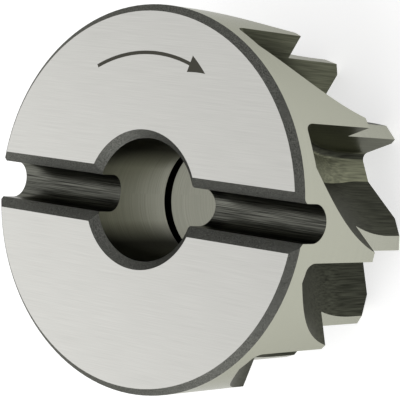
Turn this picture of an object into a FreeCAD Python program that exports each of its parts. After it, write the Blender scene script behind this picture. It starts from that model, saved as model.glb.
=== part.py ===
import FreeCAD, Part
import os
import Sketcher

# Head tube reamer: one piece of steel that reams a bicycle's head tube and faces its end.
# Millimetres. The origin is on the axis at the front end, where the reaming teeth start,
# and +Z runs back along the axis to the drive face. The drive slot lies along X.
# Teeth are numbered clockwise as seen from the drive face, the way that the tool turns.

NODE = "head_tube_reamer"
SIZES = {
    # blank
    "flange_diameter": 64.7,
    "reamer_diameter": 55.95,
    "flange_thickness": 23.15,
    "reamer_length": 16.95,
    "rim_chamfer": 1.17,
    # bore and the groove in its wall for a snap ring
    "bore_diameter": 20.5,
    "bore_chamfer": 1.38,
    "ring_groove_width": 2.0,
    "ring_groove_depth": 1.6,
    "ring_groove_setback": 19.45,
    # drive slot
    "slot_width": 6.3,
    "slot_depth": 7.4,
    "slot_chamfer": 1.7,
    # teeth: angles in degrees, unequal pitches of one half turn that the other half repeats
    "first_edge_angle": -102.72,
    "pitch_angle_one": 36,
    "pitch_angle_two": 38,
    "pitch_angle_three": 40,
    "pitch_angle_four": 32,
    "pitch_angle_five": 34,
    # width of each tooth's land at the reaming diameter, in degrees
    "land_angle_one": 4.0,
    "land_angle_two": 4.3,
    "land_angle_three": 5.3,
    "land_angle_four": 4.9,
    "land_angle_five": 3.6,
    # flutes: the floor and the back face run straight from the front end, stop short of
    # the flange by these lengths and rise out through its side with the cutter's radius
    "cutter_radius": 45.6,
    "rake_offset": 2.95,
    "floor_offset": 19.3,
    "floor_stop": 13.25,
    "root_radius": 1.3,
    "back_angle": 31.2,
    "back_stop": 10.95,
    # reliefs ground behind the cutting edges
    "land_relief_angle": 7,
    "lead_chamfer": 2.1,
    "lead_relief_angle": 19,
}
COUNTED = ("one", "two", "three", "four", "five")
PITCHES = tuple(f"pitch_angle_{number}" for number in COUNTED)
LANDS = tuple(f"land_angle_{number}" for number in COUNTED)

# Sizes that follow from the sheet, as formulas of its cells.
FLANGE_R = "Sizes.flange_diameter / 2"
REAMER_R = "Sizes.reamer_diameter / 2"
LEAD_R = f"({REAMER_R} - Sizes.lead_chamfer)"
BORE_R = "Sizes.bore_diameter / 2"
SLOT_HALF = "Sizes.slot_width / 2"
OVERALL = "(Sizes.reamer_length + Sizes.flange_thickness)"
OUTSIDE = "Sizes.flange_diameter * 0.6"
RAKE_AT_FLANGE = f"asin(Sizes.rake_offset / ({FLANGE_R}))"
RAKE_AT_REAMER = f"asin(Sizes.rake_offset / ({REAMER_R}))"
RAKE_AT_LEAD = f"asin(Sizes.rake_offset / {LEAD_R})"
EDGE_X = f"({REAMER_R} * cos({RAKE_AT_REAMER}))"
LEAD_X = f"({LEAD_R} * cos({RAKE_AT_LEAD}))"


def make_sheet(doc):
    """Put the driving dimensions into the sheet, one named cell each."""
    sheet = doc.addObject("Spreadsheet::Sheet", "Sizes")
    for row, (alias, value) in enumerate(SIZES.items(), start=1):
        sheet.set(f"A{row}", alias)
        sheet.set(f"B{row}", str(value))
        sheet.setAlias(f"B{row}", alias)
    doc.recompute()


def origin_feature(body, role):
    """Return the body's own origin plane or axis that has this role."""
    return next(item for item in body.Origin.OriginFeatures if item.Role == role)


def new_sketch(body, name, plane, turn="0 deg", height="0 mm"):
    """Start a sketch on an origin plane, turned about its normal and raised along it."""
    sketch = body.newObject("Sketcher::SketchObject", name)
    sketch.AttachmentSupport = [(origin_feature(body, plane), "")]
    sketch.MapMode = "FlatFace"
    sketch.setExpression("AttachmentOffset.Rotation.Angle", turn)
    sketch.setExpression("AttachmentOffset.Base.z", height)
    return sketch


def value_of(sketch, formula):
    """Work out a formula of the sheet's cells as a plain number."""
    result = sketch.evalExpression(formula)
    return float(getattr(result, "Value", result))


def pin(sketch, kind, edge, end, formula):
    """Bind one coordinate of an edge's end (1 start, 2 end, 3 centre) to a formula."""
    constraint = Sketcher.Constraint(kind, edge, end, value_of(sketch, formula))
    number = sketch.addConstraint(constraint)
    sketch.setExpression(f"Constraints[{number}]", formula)


def add_edge(sketch, start, end, centre):
    """Add a straight edge, or an arc that turns anticlockwise about a centre."""
    if centre is None:
        return sketch.addGeometry(Part.LineSegment(start, end), False)
    circle = Part.Circle(centre, FreeCAD.Vector(0, 0, 1), (start - centre).Length)
    arc = Part.ArcOfCircle(circle, circle.parameter(start), circle.parameter(end))
    return sketch.addGeometry(arc, False)


def draw_outline(sketch, corners, centres=None):
    """Draw a closed outline. Corners are pairs of formulas, each fixing one point.

    An edge is straight unless its first corner's place in the list has a centre, also a
    pair of formulas. The corner that ends an arc is fixed in height only, because the
    arc's radius already holds it the other way.
    """
    centres = centres or {}

    def point(pair):
        return FreeCAD.Vector(value_of(sketch, pair[0]), value_of(sketch, pair[1]), 0)

    count = len(corners)
    edges = []
    for place in range(count):
        centre = point(centres[place]) if place in centres else None
        start, end = point(corners[place]), point(corners[(place + 1) % count])
        edges.append(add_edge(sketch, start, end, centre))
    for place, edge in enumerate(edges):
        following = edges[(place + 1) % count]
        sketch.addConstraint(Sketcher.Constraint("Coincident", edge, 2, following, 1))
        if place - 1 not in centres:
            pin(sketch, "DistanceX", edge, 1, corners[place][0])
        pin(sketch, "DistanceY", edge, 1, corners[place][1])
        if place in centres:
            pin(sketch, "DistanceX", edge, 3, centres[place][0])
            pin(sketch, "DistanceY", edge, 3, centres[place][1])


def add_blank(body):
    """Turn the two-step blank with its bore, chamfers and ring groove."""
    groove_top = f"({OVERALL} - Sizes.ring_groove_setback)"
    groove_foot = f"{groove_top} - Sizes.ring_groove_width"
    groove_r = f"{BORE_R} + Sizes.ring_groove_depth"
    mouth_r = f"{BORE_R} + Sizes.bore_chamfer"
    sketch = new_sketch(body, "blank_section", "XZ_Plane")
    draw_outline(sketch, [
        (mouth_r, "0"),
        (REAMER_R, "0"),
        (REAMER_R, "Sizes.reamer_length"),
        (FLANGE_R, "Sizes.reamer_length"),
        (FLANGE_R, f"{OVERALL} - Sizes.rim_chamfer"),
        (f"{FLANGE_R} - Sizes.rim_chamfer", OVERALL),
        (mouth_r, OVERALL),
        (BORE_R, f"{OVERALL} - Sizes.bore_chamfer"),
        (BORE_R, groove_top),
        (groove_r, groove_top),
        (groove_r, groove_foot),
        (BORE_R, groove_foot),
        (BORE_R, "Sizes.bore_chamfer"),
    ])
    blank = body.newObject("PartDesign::Revolution", "blank")
    blank.Profile = sketch
    blank.ReferenceAxis = (sketch, ["V_Axis"])
    blank.Angle = 360


def edge_angle(tooth):
    """Formula of the angle of a tooth's cutting edge at the flange, clockwise from the slot."""
    half_turns, place = divmod(tooth, len(PITCHES))
    steps = "".join(f" + Sizes.{pitch}" for pitch in PITCHES[:place])
    return f"(Sizes.first_edge_angle{steps} + 180 * {half_turns})"


def tooth_turn(tooth):
    """Formula of the turn that lays a sketch's X along a tooth's rake face."""
    return f"-{edge_angle(tooth)} * 1 deg - {RAKE_AT_FLANGE}"


def swing(body, kind, name, sketch, rim):
    """Turn a sketch a quarter about the cutter's own axis, up from the sketch's plane.

    The rim is the formula of how far the cutter reaches in towards the tool's axis.
    """
    arbor = f"{rim} + Sizes.cutter_radius"
    arbor_x = value_of(sketch, arbor)
    line = Part.LineSegment(FreeCAD.Vector(arbor_x, 0, 0), FreeCAD.Vector(arbor_x, arbor_x, 0))
    axis = sketch.addGeometry(line, True)
    sketch.addConstraint(Sketcher.Constraint("Vertical", axis))
    pin(sketch, "DistanceX", axis, 1, arbor)
    pin(sketch, "DistanceY", axis, 1, "0")
    pin(sketch, "DistanceY", axis, 2, arbor)

    lift = body.newObject(kind, name)
    lift.Profile = sketch
    lift.ReferenceAxis = (sketch, ["Axis0"])
    lift.Angle = 90


def back_distance(tooth):
    """Formula of a back face's distance from the axis, where the land's heel sets it."""
    land = LANDS[tooth % len(LANDS)]
    heel = f"{RAKE_AT_REAMER} - {RAKE_AT_FLANGE} + Sizes.{land} * 1 deg"
    return f"({REAMER_R} * sin(Sizes.back_angle * 1 deg + {heel}))"


def add_floor_side(body, tooth):
    """Fill what lies beyond a tooth's rake face, its root radius and the flute's floor."""
    root_x = "Sizes.floor_offset + Sizes.root_radius"
    root_y = "Sizes.rake_offset - Sizes.root_radius"
    sketch = new_sketch(body, f"floor_{tooth + 1}_section", "XY_Plane", tooth_turn(tooth),
                        "(Sizes.reamer_length - Sizes.floor_stop) * 1 mm")
    draw_outline(sketch, [
        (OUTSIDE, "Sizes.rake_offset"),
        (root_x, "Sizes.rake_offset"),
        ("Sizes.floor_offset", root_y),
        ("Sizes.floor_offset", f"-{OUTSIDE}"),
        (OUTSIDE, f"-{OUTSIDE}"),
    ], {1: (root_x, root_y)})
    run = body.newObject("PartDesign::Pad", f"floor_{tooth + 1}_run")
    run.Profile = sketch
    run.Reversed = True
    run.setExpression("Length", OVERALL)
    swing(body, "PartDesign::Revolution", f"floor_{tooth + 1}_lift", sketch,
          "Sizes.floor_offset")


def trim_back_side(body, tooth):
    """Take away what lies behind a tooth's back face. X runs square to that face."""
    rim = back_distance(tooth)
    far = f"-2 * {OUTSIDE}"
    turn = f"-{edge_angle(tooth)} * 1 deg + 90 deg - Sizes.back_angle * 1 deg"
    sketch = new_sketch(body, f"back_{tooth + 1}_section", "XY_Plane", turn,
                        "(Sizes.reamer_length - Sizes.back_stop) * 1 mm")
    draw_outline(sketch, [
        (rim, OUTSIDE),
        (f"-{OUTSIDE}", OUTSIDE),
        (f"-{OUTSIDE}", far),
        (rim, far),
    ])
    run = body.newObject("PartDesign::Pocket", f"back_{tooth + 1}_run")
    run.Profile = sketch
    run.Type = "ThroughAll"
    swing(body, "PartDesign::Groove", f"back_{tooth + 1}_lift", sketch, rim)


def flute_space(doc, tooth):
    """Make the open space of the flute in front of a tooth, up to the next tooth's back."""
    space = doc.addObject("PartDesign::Body", f"flute_{tooth + 1}_space")
    add_floor_side(space, tooth)
    doc.recompute()
    trim_back_side(space, tooth + 1)
    return space


def relief_sketch(body, name, tooth, edge_x, rake, relief):
    """Sketch what a flat relief takes off, from a cutting edge back past the land's heel.

    The relief's trace starts at the edge and falls below the tangent by the relief angle.
    It ends half a pitch back, in the open flute behind the land.
    """
    behind = f"(Sizes.{PITCHES[tooth - 1]} * 0.5 deg)"
    reach = f"({REAMER_R} * sin({behind}))"
    trace = f"({rake} + Sizes.{relief} * 1 deg)"
    end_y = f"Sizes.rake_offset + {reach} * cos({trace})"
    sketch = new_sketch(body, name, "XY_Plane", tooth_turn(tooth))
    draw_outline(sketch, [
        (edge_x, "Sizes.rake_offset"),
        (OUTSIDE, "Sizes.rake_offset"),
        (OUTSIDE, end_y),
        (f"{edge_x} - {reach} * sin({trace})", end_y),
    ])
    return sketch


def add_land_relief(body, tooth):
    """Grind a tooth's land away from the reaming diameter, up to the flange."""
    relief = body.newObject("PartDesign::Pocket", f"land_{tooth + 1}_relief")
    relief.Profile = relief_sketch(body, f"land_{tooth + 1}_section", tooth,
                                   EDGE_X, RAKE_AT_REAMER, "land_relief_angle")
    relief.Reversed = True
    relief.setExpression("Length", "Sizes.reamer_length")
    return relief


def add_lead_relief(body, tooth):
    """Grind a tooth's leading chamfer, sweeping the relief along the chamfer's own edge."""
    relief = body.newObject("PartDesign::Pocket", f"lead_{tooth + 1}_relief")
    relief.Profile = relief_sketch(body, f"lead_{tooth + 1}_section", tooth,
                                   LEAD_X, RAKE_AT_LEAD, "lead_relief_angle")
    turn = f"({tooth_turn(tooth)})"
    relief.UseCustomVector = True
    relief.Direction = FreeCAD.Vector(1, 1, 1)
    relief.setExpression("Direction.x", f"({EDGE_X} - {LEAD_X}) * cos({turn})")
    relief.setExpression("Direction.y", f"({EDGE_X} - {LEAD_X}) * sin({turn})")
    relief.setExpression("Direction.z", "Sizes.lead_chamfer")
    relief.AlongSketchNormal = True
    relief.setExpression("Length", "Sizes.lead_chamfer * 2")
    return relief


def add_second_half(body, features):
    """Repeat the teeth of one half turn on the other half."""
    pattern = body.newObject("PartDesign::PolarPattern", "second_half")
    pattern.Originals = features
    pattern.Axis = (origin_feature(body, "Z_Axis"), [""])
    pattern.Angle = 360
    pattern.Occurrences = 2
    body.Tip = pattern


def add_drive_slot(body):
    """Mill the round-bottomed slot across the drive face, with broken edges."""
    round_height = f"{OVERALL} - Sizes.slot_depth + {SLOT_HALF}"
    shoulder = f"{OVERALL} - Sizes.slot_chamfer"
    above = f"{OVERALL} + Sizes.slot_chamfer"
    mouth = f"({SLOT_HALF} + 2 * Sizes.slot_chamfer)"
    sketch = new_sketch(body, "slot_section", "YZ_Plane")
    draw_outline(sketch, [
        (f"-{SLOT_HALF}", round_height),
        (SLOT_HALF, round_height),
        (SLOT_HALF, shoulder),
        (mouth, above),
        (f"-{mouth}", above),
        (f"-{SLOT_HALF}", shoulder),
    ], {0: ("0", round_height)})
    slot = body.newObject("PartDesign::Pocket", "drive_slot")
    slot.Profile = sketch
    slot.SideType = "Symmetric"
    slot.Type = "ThroughAll"
    body.Tip = slot


def build_reamer(doc):
    """Make the whole tool: blank, ten flutes, five teeth's reliefs and their copies, slot."""
    spaces = [flute_space(doc, tooth) for tooth in range(2 * len(PITCHES))]
    body = doc.addObject("PartDesign::Body", NODE)
    body.Label = NODE
    body.Placement = FreeCAD.Placement()
    add_blank(body)
    doc.recompute()
    flutes = body.newObject("PartDesign::Boolean", "flutes")
    flutes.Type = "Cut"
    flutes.addObjects(spaces)
    doc.recompute()
    features = []
    for tooth in range(len(PITCHES)):
        features.append(add_land_relief(body, tooth))
        features.append(add_lead_relief(body, tooth))
    doc.recompute()
    add_second_half(body, features)
    doc.recompute()
    add_drive_slot(body)
    doc.recompute()
    return body


def check(doc, bodies):
    """Stop if a feature failed, or a body isn't one valid solid."""
    failed = [item.Name for item in doc.Objects if {"Invalid", "Error"} & set(item.State)]
    if failed:
        raise RuntimeError("failed: " + ", ".join(failed))
    for body in bodies:
        shape = body.Shape
        if shape.isNull() or not shape.isValid() or len(shape.Solids) != 1:
            raise RuntimeError(body.Label + " is not one valid solid")


def main():
    """Build the document and write each body's STEP file."""
    doc = FreeCAD.newDocument("HeadTubeReamer")
    make_sheet(doc)
    bodies = [build_reamer(doc)]
    check(doc, bodies)
    os.makedirs("parts", exist_ok=True)
    for body in bodies:
        body.Shape.exportStep(os.path.join("parts", body.Label + ".step"))
        print(body.Label, "volume", round(body.Shape.Volume, 1), "faces", len(body.Shape.Faces))


main()
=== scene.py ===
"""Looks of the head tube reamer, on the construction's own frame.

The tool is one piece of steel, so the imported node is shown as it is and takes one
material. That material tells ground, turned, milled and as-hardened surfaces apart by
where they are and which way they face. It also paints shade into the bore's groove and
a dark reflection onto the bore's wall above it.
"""

from __future__ import annotations

import logging
import math
from dataclasses import dataclass
from enum import Enum
from typing import TypeAlias

import bpy
from mathutils import Matrix, Vector


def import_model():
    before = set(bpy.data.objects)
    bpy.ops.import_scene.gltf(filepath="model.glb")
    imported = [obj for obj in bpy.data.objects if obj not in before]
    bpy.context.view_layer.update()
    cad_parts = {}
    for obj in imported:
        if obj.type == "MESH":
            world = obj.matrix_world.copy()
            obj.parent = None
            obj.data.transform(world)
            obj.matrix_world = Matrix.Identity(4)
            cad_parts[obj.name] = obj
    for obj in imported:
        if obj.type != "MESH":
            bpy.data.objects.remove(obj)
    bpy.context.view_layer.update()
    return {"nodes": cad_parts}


LOG = logging.getLogger("head_tube_reamer")
NODE = "head_tube_reamer"
SLOT = "tool_steel"
FLOAT = "NodeSocketFloat"
VECTOR = "NodeSocketVector"
MM_PER_METRE = 1000.0
WHITE = (1.0, 1.0, 1.0, 1.0)

Triple: TypeAlias = "tuple[float, float, float]"
Value: TypeAlias = "bpy.types.NodeSocket | float | tuple[float, ...]"


class Region(Enum):
    """Kinds of surface, painted in this order over the flutes' own finish. Two are painted
    shade rather than kinds of surface: a dark reflection on the bore's wall and the shade in
    the groove.
    """

    BOTTOM = "Bottom"
    RAKE = "Rake"
    LAND = "Land"
    SIDE = "Side"
    WALL = "Wall"
    # Painted dark reflection: the bore's wall above the groove, darkened away from the
    # slot's plane.
    PAINTED_DARK_REFLECTION = "Painted dark reflection"
    FRONT = "Front"
    FACE = "Face"
    SLOT = "Slot"
    EDGES = "Edges"
    # Painted shade: the groove in the bore is coloured near black for the shade inside it.
    GROOVE_PAINTED_SHADE = "Groove painted shade"


class Marks(Enum):
    """Tool marks that a surface can carry."""

    GROUND = "Ground"
    TURNED = "Turned"
    MILLED = "Milled"
    GRAIN = "Grain"


@dataclass(frozen=True)
class Finish:
    """Colour, roughness and tool marks of one kind of surface.

    Contrast is how much the marks change the colour: at one, they go from black to
    twice the colour.
    """

    colour: Triple
    roughness: float
    marks: Marks
    contrast: float


FLUTE_FINISH = Finish((0.042, 0.044, 0.033), 0.40, Marks.MILLED, 1.5)
FINISHES: dict[Region, Finish] = {
    Region.BOTTOM: Finish((0.235, 0.242, 0.168), 0.42, Marks.MILLED, 1.0),
    Region.RAKE: Finish((0.120, 0.125, 0.088), 0.32, Marks.MILLED, 0.9),
    Region.LAND: Finish((0.420, 0.425, 0.360), 0.26, Marks.TURNED, 0.2),
    Region.SIDE: Finish((0.415, 0.420, 0.350), 0.25, Marks.TURNED, 0.12),
    Region.WALL: Finish((0.390, 0.392, 0.330), 0.28, Marks.TURNED, 0.4),
    # Painted dark reflection on the bore's wall, not a finish of the steel.
    Region.PAINTED_DARK_REFLECTION: Finish((0.044, 0.044, 0.041), 0.28, Marks.TURNED, 0.6),
    Region.FRONT: Finish((0.480, 0.480, 0.455), 0.35, Marks.GROUND, 0.3),
    Region.FACE: Finish((0.495, 0.492, 0.468), 0.30, Marks.GROUND, 0.15),
    Region.SLOT: Finish((0.080, 0.081, 0.070), 0.28, Marks.GROUND, 2.6),
    Region.EDGES: Finish((0.082, 0.083, 0.075), 0.50, Marks.GRAIN, 2.0),
    # Near black for the painted shade in the groove, not the steel's own colour.
    Region.GROOVE_PAINTED_SHADE: Finish((0.006, 0.006, 0.0055), 0.60, Marks.TURNED, 0.2),
}


class Graph:
    """Adds nodes to one node tree and links them."""

    def __init__(self, tree: bpy.types.NodeTree) -> None:
        """Take the tree to work on."""
        self.tree = tree

    def node(self, kind: str, **settings: object) -> bpy.types.Node:
        """Add a node.

        Args:
            kind: the node's type name.
            settings: properties to set on it.

        Returns:
            The new node.
        """
        node = self.tree.nodes.new(kind)
        for name, value in settings.items():
            setattr(node, name, value)
        return node

    def feed(self, socket: bpy.types.NodeSocket, value: Value) -> None:
        """Link a socket to another one, or set its constant.

        Args:
            socket: the input to feed.
            value: another node's output, or a constant.
        """
        if isinstance(value, bpy.types.NodeSocket):
            self.tree.links.new(value, socket)
        else:
            socket.default_value = value

    def math(self, operation: str, *values: Value) -> bpy.types.NodeSocket:
        """Add a math node.

        Args:
            operation: what it works out.
            values: its inputs in order.

        Returns:
            Its result.
        """
        node = self.node("ShaderNodeMath", operation=operation)
        for socket, value in zip(node.inputs, values):
            self.feed(socket, value)
        return node.outputs[0]

    def product(self, *values: Value) -> Value:
        """Multiply masks or values together.

        Args:
            values: the factors, of which at least one is a node's output.

        Returns:
            Their product.
        """
        result = values[0]
        for value in values[1:]:
            result = self.math("MULTIPLY", result, value)
        return result

    def between(self, value: Value, low: float, high: float) -> Value:
        """Tell where a value lies between two limits.

        Args:
            value: the value to look at.
            low: the lower limit.
            high: the upper limit.

        Returns:
            A mask that is one between the limits and zero elsewhere.
        """
        return self.product(
            self.math("GREATER_THAN", value, low), self.math("LESS_THAN", value, high)
        )

    def ramp(self, value: Value, low: float, high: float) -> Value:
        """Fade a mask in between two values.

        Args:
            value: the value to look at.
            low: where the mask is still zero.
            high: where it has reached one.

        Returns:
            A mask that grows evenly with the value.
        """
        node = self.node("ShaderNodeMapRange", clamp=True)
        for label, part in (("Value", value), ("From Min", low), ("From Max", high)):
            self.feed(node.inputs[label], part)
        return node.outputs[0]

    def stretched_noise(
        self, parts: tuple[Value, Value, Value], scales: Triple, detail: float
    ) -> Value:
        """Make noise that has its own number of waves per millimetre in each direction.

        Args:
            parts: the three coordinates in millimetres.
            scales: how fine the noise is along each of them.
            detail: how many finer layers it has.

        Returns:
            The noise, around one half.
        """
        joined = self.node("ShaderNodeCombineXYZ")
        for socket, part, scale in zip(joined.inputs, parts, scales):
            self.feed(socket, self.math("MULTIPLY", part, scale))
        noise = self.node("ShaderNodeTexNoise")
        noise.inputs["Scale"].default_value = 1.0
        noise.inputs["Detail"].default_value = detail
        self.feed(noise.inputs["Vector"], joined.outputs[0])
        return noise.outputs[0]


class Effect(Graph):
    """A shader node group with named inputs and outputs."""

    def __init__(self, name: str, inputs: dict[str, str], outputs: dict[str, str]) -> None:
        """Make the group with its sockets.

        Args:
            name: the group's name.
            inputs: the socket type of each named input.
            outputs: the socket type of each named output.
        """
        super().__init__(bpy.data.node_groups.new(name, "ShaderNodeTree"))
        for label, kind in inputs.items():
            self.tree.interface.new_socket(label, in_out="INPUT", socket_type=kind)
        for label, kind in outputs.items():
            self.tree.interface.new_socket(label, in_out="OUTPUT", socket_type=kind)
        self.source = self.node("NodeGroupInput")
        self.sink = self.node("NodeGroupOutput")

    def put(self, label: str, value: Value) -> None:
        """Send a value to one of the group's outputs."""
        self.feed(self.sink.inputs[label], value)

    def used_in(self, graph: Graph, **values: Value) -> bpy.types.NodeOutputs:
        """Place this group in a graph.

        Args:
            graph: where the group is placed.
            values: what its named inputs are fed with.

        Returns:
            The group's outputs there.
        """
        node = graph.node("ShaderNodeGroup", node_tree=self.tree)
        for label, value in values.items():
            graph.feed(node.inputs[label], value)
        return node.outputs


@dataclass(frozen=True)
class Reamer:
    """The tool in its looks, with what tells its surfaces apart.

    Sizes and margins are in millimetres. A margin is how far past a surface's own limit
    a point still counts as on it. The names that end in up or out are limits on how far
    a normal points along the axis or away from it.
    """

    flange_radius: float = 32.35
    reamer_length: float = 16.95
    overall: float = 40.1
    rim_chamfer: float = 1.17
    bore_radius: float = 10.25
    bore_chamfer: float = 1.38
    groove_top: float = 20.65
    groove_foot: float = 18.65
    groove_radius: float = 11.85
    slot_half: float = 3.15
    slot_chamfer: float = 1.7
    slot_foot: float = 32.7
    core_radius: float = 19.0
    cutter_radius: float = 45.6
    floor_offset: float = 19.3
    floor_least: float = 17.3
    lead_radius: float = 25.6
    margin: float = 0.05
    end_margin: float = 0.02
    face_margin: float = 0.03
    wall_margin: float = 0.06
    side_margin: float = 0.08
    groove_margin: float = 0.1
    sloped_up: float = 0.3
    flat_up: float = 0.95
    rake_out: float = 0.25
    land_out: float = 0.62
    bore_out: float = 0.9
    outside_out: float = 0.97
    just_over_one: float = 1.0001
    # Where the painted dark reflection on the bore's wall starts and is full, as shares of
    # its radius.
    dark_reflection_start: float = 0.44
    dark_reflection_full: float = 0.78
    arrow_radius: float = 24.3
    arrow_half_width: float = 0.3
    arrow_head_length: float = 3.6
    arrow_head_flare: float = 0.4
    arrow_shaft_start: float = 0.8
    arrow_start_angle: float = 119.0
    arrow_tip_angle: float = 63.0

    def places(self) -> Effect:
        """Make the group that turns a position and a normal into the tool's own measures.

        X, Y and Z come out in millimetres, Radius is the distance from the axis, Around
        is the length round the axis. Out and Up are how far the normal points away from
        the axis and along it.

        Returns:
            The group.
        """
        labels = ("X", "Y", "Z", "Radius", "Around", "Out", "Up")
        effect = Effect(
            "places", {"Position": VECTOR, "Normal": VECTOR},
            {label: FLOAT for label in labels},
        )
        split = effect.node("ShaderNodeSeparateXYZ")
        effect.feed(split.inputs[0], effect.source.outputs["Position"])
        x, y, z = (
            effect.math("MULTIPLY", split.outputs[axis], MM_PER_METRE) for axis in "XYZ"
        )
        facing = effect.node("ShaderNodeSeparateXYZ")
        effect.feed(facing.inputs[0], effect.source.outputs["Normal"])
        radius = effect.math(
            "SQRT", effect.math("ADD", effect.product(x, x), effect.product(y, y))
        )
        around = effect.product(effect.math("ARCTAN2", y, x), radius)
        outward = effect.math(
            "DIVIDE",
            effect.math("ADD", effect.product(x, facing.outputs["X"]),
                        effect.product(y, facing.outputs["Y"])),
            radius,
        )
        values = (x, y, z, radius, around, outward, facing.outputs["Z"])
        for label, value in zip(labels, values):
            effect.put(label, value)
        return effect

    def edges(self, effect: Effect) -> Value:
        """Find the chamfers of the rim, of both mouths of the bore and of the slot.

        Args:
            effect: the group of masks, with the tool's measures as inputs.

        Returns:
            A mask that is one on these chamfers.
        """
        y, z, radius, _, up = effect.source.outputs[:5]
        sloped = effect.between(effect.math("ABSOLUTE", up), self.sloped_up, self.flat_up)
        rim = effect.product(
            effect.math("GREATER_THAN", z, self.overall - self.rim_chamfer - self.margin),
            effect.math("GREATER_THAN", radius,
                        self.flange_radius - self.rim_chamfer - self.margin),
            sloped,
        )
        from_middle = effect.math("ABSOLUTE", effect.math("SUBTRACT", z, self.overall / 2))
        mouth = effect.product(
            effect.math("LESS_THAN", radius,
                        self.bore_radius + self.bore_chamfer + self.margin),
            sloped,
            effect.math("GREATER_THAN", from_middle,
                        self.overall / 2 - self.bore_chamfer - self.margin),
        )
        shoulder = effect.product(
            effect.between(effect.math("ABSOLUTE", y), self.slot_half - self.end_margin,
                           self.slot_half + self.slot_chamfer + self.margin),
            effect.math("GREATER_THAN", z, self.overall - self.slot_chamfer - self.margin),
            sloped,
        )
        return effect.math("MAXIMUM", rim, effect.math("MAXIMUM", mouth, shoulder))

    def flute_floor(self, effect: Effect) -> Value:
        """Find the floors of the flutes, as against the backs of the teeth.

        They are told apart by how far their plane is from the axis, less how far the
        cutter's round has already risen where the surface slopes. The cosine starts from
        just over one, so that it is never nought on the flat ends.

        Args:
            effect: the group of masks, with the tool's measures as inputs.

        Returns:
            A mask that is one on the floors.
        """
        _, _, radius, out, up = effect.source.outputs[:5]
        cosine = effect.math(
            "SQRT", effect.math("SUBTRACT", self.just_over_one, effect.product(up, up))
        )
        reach = effect.math("DIVIDE", effect.product(radius, out), cosine)
        rise = effect.product(effect.math("SUBTRACT", 1.0, cosine), self.cutter_radius)
        return effect.ramp(
            effect.math("SUBTRACT", reach, rise), self.floor_least, self.floor_offset
        )

    def regions(self) -> Effect:
        """Make the group of masks that tell the kinds of surface apart.

        Returns:
            The group, with one output for each region.
        """
        inputs = ("Y", "Z", "Radius", "Out", "Up")
        effect = Effect(
            "regions", {label: FLOAT for label in inputs},
            {region.value: FLOAT for region in Region},
        )
        y, z, radius, out, up = effect.source.outputs[:5]
        beside = effect.math("ABSOLUTE", y)
        steepness = effect.math("ABSOLUTE", up)
        wall = effect.product(
            effect.math("LESS_THAN", radius, self.bore_radius + self.wall_margin),
            effect.math("LESS_THAN", out, -self.bore_out),
        )
        masks = {
            Region.BOTTOM: self.flute_floor(effect),
            Region.RAKE: effect.product(
                effect.math("LESS_THAN", effect.math("ABSOLUTE", out), self.rake_out),
                effect.math("LESS_THAN", steepness, self.sloped_up),
                effect.math("GREATER_THAN", radius, self.core_radius),
            ),
            Region.LAND: effect.product(
                effect.math("GREATER_THAN", radius, self.lead_radius),
                effect.math("LESS_THAN", z, self.reamer_length + self.end_margin),
                effect.math("GREATER_THAN", out, self.land_out),
                effect.math("GREATER_THAN", effect.math("ADD", out, steepness),
                            self.outside_out),
            ),
            Region.SIDE: effect.product(
                effect.math("GREATER_THAN", radius, self.flange_radius - self.side_margin),
                effect.math("GREATER_THAN", z, self.reamer_length + self.end_margin),
                effect.math("GREATER_THAN", out, self.outside_out),
            ),
            Region.WALL: wall,
            # Painted dark reflection: the wall above the groove grows dark away from the
            # slot's plane.
            Region.PAINTED_DARK_REFLECTION: effect.product(
                wall,
                effect.ramp(beside, self.bore_radius * self.dark_reflection_start,
                            self.bore_radius * self.dark_reflection_full),
                effect.math("GREATER_THAN", z, self.groove_top),
            ),
            Region.FRONT: effect.math("LESS_THAN", up, -self.flat_up),
            Region.FACE: effect.product(
                effect.math("GREATER_THAN", z, self.overall - self.face_margin),
                effect.math("GREATER_THAN", up, self.flat_up),
            ),
            Region.SLOT: effect.product(
                effect.math("LESS_THAN", beside, self.slot_half + self.face_margin),
                effect.math("GREATER_THAN", z, self.slot_foot - self.margin),
                effect.math("LESS_THAN", effect.math("ABSOLUTE", out), self.bore_out),
                effect.math("LESS_THAN", z, self.overall - self.end_margin),
            ),
            Region.EDGES: self.edges(effect),
            # Painted shade: the whole groove is coloured near black.
            Region.GROOVE_PAINTED_SHADE: effect.product(
                effect.between(radius, self.bore_radius + self.wall_margin,
                               self.groove_radius + self.groove_margin),
                effect.between(z, self.groove_foot - self.margin,
                               self.groove_top + self.margin),
            ),
        }
        for region, mask in masks.items():
            effect.put(region.value, mask)
        return effect

    def tooling(self) -> Effect:
        """Make the group of tool marks: each output is a fine pattern around one half.

        Ground lines lie along X, turned lines run round the axis, milled lines run along
        it, and grain is nearly even, a little finer along the axis. Each pattern has its
        coordinates, its waves per millimetre along them and its number of finer layers.

        Returns:
            The group, with one output for each kind of mark.
        """
        inputs = ("X", "Y", "Z", "Around")
        effect = Effect(
            "tooling", {label: FLOAT for label in inputs},
            {marks.value: FLOAT for marks in Marks},
        )
        x, y, z, around = effect.source.outputs[:4]
        patterns = {
            Marks.GROUND: ((x, y, z), (0.12, 9.0, 1.0), 3.0),
            Marks.TURNED: ((z, around, 0.0), (12.0, 0.05, 1.0), 3.0),
            Marks.MILLED: ((x, y, z), (3.6, 3.6, 0.12), 3.0),
            Marks.GRAIN: ((x, y, z), (6.0, 6.0, 9.0), 4.0),
        }
        for marks, pattern in patterns.items():
            effect.put(marks.value, effect.stretched_noise(*pattern))
        return effect

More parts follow.
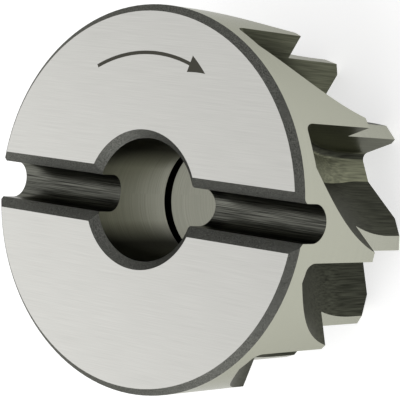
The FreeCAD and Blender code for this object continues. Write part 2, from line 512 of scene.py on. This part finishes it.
    def arrow(self) -> Effect:
        """Make the mask of the engraved arrow that shows which way the tool turns.

        Its shaft is an arc about the tool's axis that starts a little inside the head.
        Its head is as wide, on either side of the arc, as a fixed share of the way from
        its tip.

        Returns:
            The group, with the mask as its output.
        """
        start, tip = math.radians(self.arrow_start_angle), math.radians(self.arrow_tip_angle)
        effect = Effect("arrow", {"Radius": FLOAT, "Around": FLOAT}, {"Mask": FLOAT})
        radius, around = effect.source.outputs[:2]
        off = effect.math("ABSOLUTE", effect.math("SUBTRACT", radius, self.arrow_radius))
        angle = effect.math("DIVIDE", around, radius)
        way = effect.product(effect.math("SUBTRACT", angle, tip), self.arrow_radius)
        head = effect.product(
            effect.math("LESS_THAN", off, effect.product(way, self.arrow_head_flare)),
            effect.math("LESS_THAN", way, self.arrow_head_length),
        )
        shaft = effect.product(
            effect.math("LESS_THAN", off, self.arrow_half_width),
            effect.between(way, self.arrow_head_length * self.arrow_shaft_start,
                           (start - tip) * self.arrow_radius),
        )
        effect.put("Mask", effect.math("MAXIMUM", head, shaft))
        return effect

    def dress(self, tool: bpy.types.Object) -> None:
        """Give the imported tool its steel.

        Args:
            tool: the construction's node.
        """
        material = Steel(self).build()
        for place in tool.material_slots:
            place.material = material


class Steel:
    """The tool's one material, with its finish chosen surface by surface."""

    engraved_colour = (0.062, 0.060, 0.050, 1.0)
    engraved_roughness = 0.6
    edge_tint = (0.62, 0.62, 0.59, 1.0)
    mark_depth = 0.00004
    mark_strength = 0.3
    darkest = 0.1

    def __init__(self, reamer: Reamer) -> None:
        """Place the effects that the material is made of.

        Args:
            reamer: the tool whose surfaces are told apart.
        """
        self.material = bpy.data.materials.new(SLOT)
        self.material.use_nodes = True
        self.graph = Graph(self.material.node_tree)
        self.shader = self.material.node_tree.nodes["Principled BSDF"]
        places = reamer.places().used_in(
            self.graph,
            Position=self.graph.node("ShaderNodeTexCoord").outputs["Object"],
            Normal=self.graph.node("ShaderNodeNewGeometry").outputs["Normal"],
        )
        measures = {label: places[label] for label in ("Y", "Z", "Radius", "Out", "Up")}
        self.masks = reamer.regions().used_in(self.graph, **measures)
        lengths = {label: places[label] for label in ("X", "Y", "Z", "Around")}
        self.marks = reamer.tooling().used_in(self.graph, **lengths)
        self.arrow = reamer.arrow().used_in(
            self.graph, Radius=places["Radius"], Around=places["Around"]
        )["Mask"]

    def mixed(self, kind: str, mask: Value, below: Value, above: Value) -> Value:
        """Lay one value or colour over another.

        Args:
            kind: the node's data type.
            mask: where the upper one is seen.
            below: the lower one.
            above: the upper one.

        Returns:
            The two laid over each other.
        """
        node = self.graph.node("ShaderNodeMix", data_type=kind)
        sockets = [socket for socket in node.inputs if socket.enabled]
        for socket, value in zip(sockets, (mask, below, above)):
            self.graph.feed(socket, value)
        return next(socket for socket in node.outputs if socket.enabled)

    def layered(self, kind: str, values: dict[Region, Value], base: Value) -> Value:
        """Lay each region's value over the flutes' own, in the regions' order.

        Args:
            kind: the data type of the values.
            values: the value of each region.
            base: the value of the flutes.

        Returns:
            The value over the whole tool.
        """
        for region in Region:
            base = self.mixed(kind, self.masks[region.value], base, values[region])
        return base

    def build(self) -> bpy.types.Material:
        """Join the finishes and tool marks to the shader.

        Returns:
            The finished material.
        """
        graph, shader = self.graph, self.shader
        colour = self.layered(
            "RGBA", {region: (*FINISHES[region].colour, 1.0) for region in Region},
            (*FLUTE_FINISH.colour, 1.0),
        )
        rough = self.layered(
            "FLOAT", {region: FINISHES[region].roughness for region in Region},
            FLUTE_FINISH.roughness,
        )
        contrast = self.layered(
            "FLOAT", {region: FINISHES[region].contrast for region in Region},
            FLUTE_FINISH.contrast,
        )
        lines = self.layered(
            "FLOAT",
            {region: self.marks[FINISHES[region].marks.value] for region in Region},
            self.marks[FLUTE_FINISH.marks.value],
        )
        engraved = graph.product(self.arrow, self.masks[Region.FACE.value])
        colour = self.mixed("RGBA", engraved, colour, self.engraved_colour)
        rough = self.mixed("FLOAT", engraved, rough, self.engraved_roughness)
        swing = graph.product(graph.math("SUBTRACT", lines, 0.5), 2.0, contrast)
        tone = graph.math("MAXIMUM", graph.math("ADD", swing, 1.0), self.darkest)
        marked = graph.node("ShaderNodeVectorMath", operation="SCALE")
        graph.feed(marked.inputs[0], colour)
        graph.feed(marked.inputs["Scale"], tone)
        relief = graph.node("ShaderNodeBump")
        relief.inputs["Distance"].default_value = self.mark_depth
        relief.inputs["Strength"].default_value = self.mark_strength
        graph.feed(relief.inputs["Height"], graph.product(lines, contrast))
        shader.inputs["Metallic"].default_value = 1.0
        shader.inputs["Specular Tint"].default_value = self.edge_tint
        graph.feed(shader.inputs["Base Color"], marked.outputs[0])
        graph.feed(shader.inputs["Roughness"], rough)
        graph.feed(shader.inputs["Normal"], relief.outputs[0])
        return self.material


@dataclass(frozen=True)
class Panel:
    """A soft square light that faces the tool, with its place and width in metres."""

    name: str
    place: Triple
    width: float
    power: float


PANELS = (
    Panel("left", (-0.9, -0.5, 0.5), 1.2, 2.5),
    Panel("front", (0.0, -1.0, 0.6), 1.2, 7.0),
)


@dataclass(frozen=True)
class Studio:
    """Camera, floor and soft lights, in metres."""

    lens: float = 170.79
    sensor: float = 36.0
    eye: Triple = (0.197701, 0.020372, 0.282162)
    right: Triple = (0.786490, 0.100364, -0.609394)
    up: Triple = (-0.117368, 0.993015, 0.012068)
    back: Triple = (0.606348, 0.062032, 0.792776)
    clip_start: float = 0.01
    clip_end: float = 10.0
    aim: Triple = (0.0, 0.0, 0.02)
    floor_half: float = 3.0
    floor_level: float = -0.0001
    floor_colour: float = 0.7
    floor_roughness: float = 0.9
    floor_glow: float = 0.62
    ambient: float = 0.55

    def keep(self, item: bpy.types.Object) -> None:
        """Put an object into the scene."""
        bpy.context.scene.collection.objects.link(item)

    def camera(self) -> None:
        """Place the camera where the photograph was taken from."""
        data = bpy.data.cameras.new("camera")
        data.sensor_width = self.sensor
        data.lens = self.lens
        data.clip_start, data.clip_end = self.clip_start, self.clip_end
        camera = bpy.data.objects.new("camera", data)
        turn = Matrix((self.right, self.up, self.back)).transposed().to_4x4()
        camera.matrix_world = Matrix.Translation(self.eye) @ turn
        self.keep(camera)
        bpy.context.scene.camera = camera

    def seen(self, graph: Graph) -> Value:
        """Find the rays that show the background straight, mirrored or through glass.

        Args:
            graph: where the nodes go.

        Returns:
            A mask that is one for these rays.
        """
        rays = graph.node("ShaderNodeLightPath").outputs
        mirrored = graph.math("MAXIMUM", rays["Is Glossy Ray"], rays["Is Transmission Ray"])
        return graph.math("MAXIMUM", rays["Is Camera Ray"], mirrored)

    def floor_material(self) -> bpy.types.Material:
        """Make the floor's plain pale surface, clear when seen from below.

        Returns:
            The material.
        """
        material = bpy.data.materials.new("floor")
        material.use_nodes = True
        graph = Graph(material.node_tree)
        nodes = material.node_tree.nodes
        shader = nodes["Principled BSDF"]
        shader.inputs["Base Color"].default_value = (*(self.floor_colour,) * 3, 1.0)
        shader.inputs["Roughness"].default_value = self.floor_roughness
        shader.inputs["Specular IOR Level"].default_value = 0.0
        shader.inputs["Emission Color"].default_value = WHITE
        graph.feed(shader.inputs["Emission Strength"],
                   graph.product(self.seen(graph), self.floor_glow))
        below = graph.node("ShaderNodeNewGeometry").outputs["Backfacing"]
        clear = graph.node("ShaderNodeMixShader")
        graph.feed(clear.inputs["Fac"], below)
        graph.feed(clear.inputs[1], shader.outputs[0])
        graph.feed(clear.inputs[2], graph.node("ShaderNodeBsdfTransparent").outputs[0])
        graph.feed(nodes["Material Output"].inputs["Surface"], clear.outputs[0])
        return material

    def floor(self) -> None:
        """Lay the floor under the tool."""
        mesh = bpy.data.meshes.new("floor")
        half, level = self.floor_half, self.floor_level
        mesh.from_pydata(
            [(-half, -half, level), (half, -half, level), (half, half, level),
             (-half, half, level)],
            [], [(0, 1, 2, 3)],
        )
        mesh.materials.append(self.floor_material())
        self.keep(bpy.data.objects.new("floor", mesh))

    def lights(self) -> None:
        """Hang the soft panels."""
        for panel in PANELS:
            data = bpy.data.lights.new(panel.name, "AREA")
            data.shape = "SQUARE"
            data.size = panel.width
            data.energy = panel.power
            light = bpy.data.objects.new(panel.name, data)
            light.location = panel.place
            towards = Vector(self.aim) - Vector(panel.place)
            light.rotation_euler = towards.to_track_quat("-Z", "Y").to_euler()
            self.keep(light)

    def surroundings(self) -> None:
        """Set the even light all round, white where it is seen or mirrored."""
        world = bpy.data.worlds.new("surroundings")
        world.use_nodes = True
        background = world.node_tree.nodes["Background"]
        background.inputs["Color"].default_value = WHITE
        graph = Graph(world.node_tree)
        graph.feed(background.inputs["Strength"],
                   graph.math("MAXIMUM", self.seen(graph), self.ambient))
        bpy.context.scene.world = world

    def build(self) -> None:
        """Set the whole studio up."""
        self.camera()
        self.floor()
        self.lights()
        self.surroundings()
        bpy.context.scene.view_settings.view_transform = "Standard"


def main() -> None:
    """Load the frame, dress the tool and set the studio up."""
    logging.basicConfig(level=logging.INFO)
    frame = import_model()
    tool = frame["nodes"][NODE]
    Reamer().dress(tool)
    LOG.info("tool dressed, %d facets", len(tool.data.polygons))
    Studio().build()
    LOG.info("studio set up, %d panels", len(PANELS))


if __name__ == "__main__":
    main()
